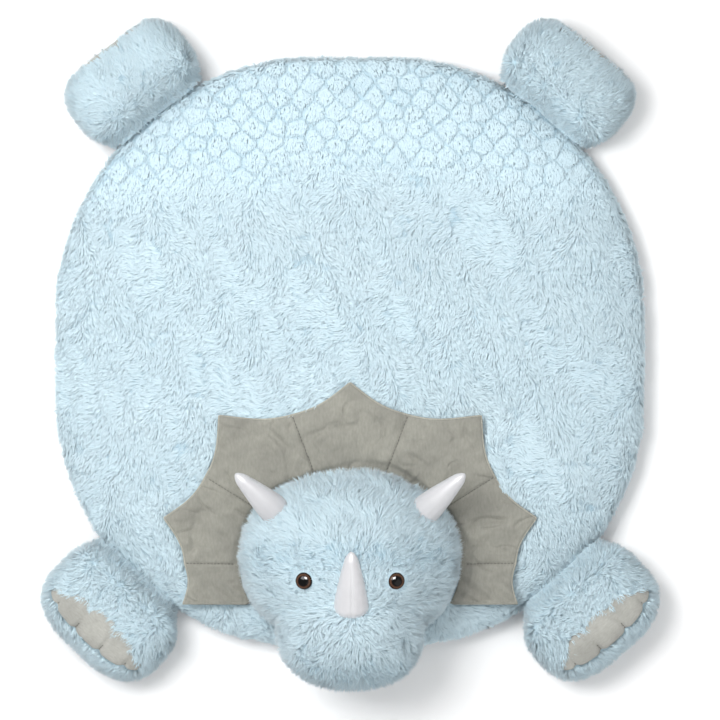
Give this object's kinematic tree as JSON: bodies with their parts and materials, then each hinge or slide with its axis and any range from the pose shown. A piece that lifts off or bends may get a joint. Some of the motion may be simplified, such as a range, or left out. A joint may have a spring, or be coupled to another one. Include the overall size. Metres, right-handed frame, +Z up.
{
  "type": "stuffed dinosaur",
  "caption": "Plush horned dinosaur nap mat: round-cornered stuffed mat body, ball head lying face up, lobed fabric frill, horns, paws and feet.",
  "frame": {"origin": "on the floor under the middle of the whole object's bounding box", "axes": "+Z up from the floor; the head points along -Y and the rear feet along +Y; +X is on the right for someone looking straight down with the head nearest"},
  "size_m": [0.6936, 0.75, 0.1954],
  "materials": {
    "blue_plush": "long soft pile",
    "underside_plush": "short soft pile",
    "sole_minky": "short brushed pile",
    "frill_minky": "short brushed pile",
    "horn_satin": "smooth knit with a soft sheen",
    "fibre_fill": "loose fibre",
    "batting": "felted fibre sheet",
    "thread": "sewing thread",
    "eye_plastic": "polished dome",
    "washer_plastic": "moulded"
  },
  "bodies": {
    "mat": {"mat_top_panel": "blue_plush", "mat_underside_panel": "underside_plush", "mat_stuffing": "fibre_fill"},
    "head": {"head_face_cover": "blue_plush", "muzzle_cover": "blue_plush", "head_back_panel": "blue_plush", "head_stuffing": "fibre_fill", "left_eye": "eye_plastic", "left_eye_washer": "washer_plastic", "right_eye": "eye_plastic", "right_eye_washer": "washer_plastic", "left_brow_horn_cover": "horn_satin", "left_brow_horn_stuffing": "fibre_fill", "right_brow_horn_cover": "horn_satin", "right_brow_horn_stuffing": "fibre_fill", "nose_horn_cover": "horn_satin", "nose_horn_stuffing": "fibre_fill"},
    "frill": {"frill_back_panel": "frill_minky", "frill_batting": "batting", "frill_front_panel": "frill_minky", "frill_quilting": "thread"},
    "left_foot": {"left_foot_cover": "blue_plush", "left_foot_sole": "sole_minky", "left_foot_stuffing": "fibre_fill"},
    "left_paw": {"left_paw_cover": "blue_plush", "left_paw_toe_panel": "sole_minky", "left_paw_toe_stitches": "thread", "left_paw_stuffing": "fibre_fill"},
    "right_foot": {"right_foot_cover": "blue_plush", "right_foot_sole": "sole_minky", "right_foot_stuffing": "fibre_fill"},
    "right_paw": {"right_paw_cover": "blue_plush", "right_paw_toe_panel": "sole_minky", "right_paw_toe_stitches": "thread", "right_paw_stuffing": "fibre_fill"}
  },
  "joints": [
    {"name": "left_foot_lift", "type": "hinge", "parent": "mat", "child": "left_foot", "pos_m": [-0.22438, 0.27708, 0.025], "axis": [0.7771, 0.6293, 0], "range_deg": [0, 45]},
    {"name": "left_paw_lift", "type": "hinge", "parent": "mat", "child": "left_paw", "pos_m": [-0.24103, -0.26304, 0.025], "axis": [-0.7373, 0.6756, 0], "range_deg": [0, 30]},
    {"name": "right_foot_lift", "type": "hinge", "parent": "mat", "child": "right_foot", "pos_m": [0.22438, 0.27708, 0.025], "axis": [0.7771, -0.6293, 0], "range_deg": [0, 45]},
    {"name": "right_paw_lift", "type": "hinge", "parent": "mat", "child": "right_paw", "pos_m": [0.24103, -0.26304, 0.025], "axis": [-0.7373, -0.6756, 0], "range_deg": [0, 30]},
    {"name": "head_nod", "type": "hinge", "parent": "mat", "child": "head", "pos_m": [0, -0.315, 0.03], "axis": [1, 0, 0], "range_deg": [0, 55]},
    {"name": "frill_fold", "type": "hinge", "parent": "head", "child": "frill", "pos_m": [0, -0.29, 0.05651], "axis": [1, 0, 0], "range_deg": [0, 8]}
  ]
}
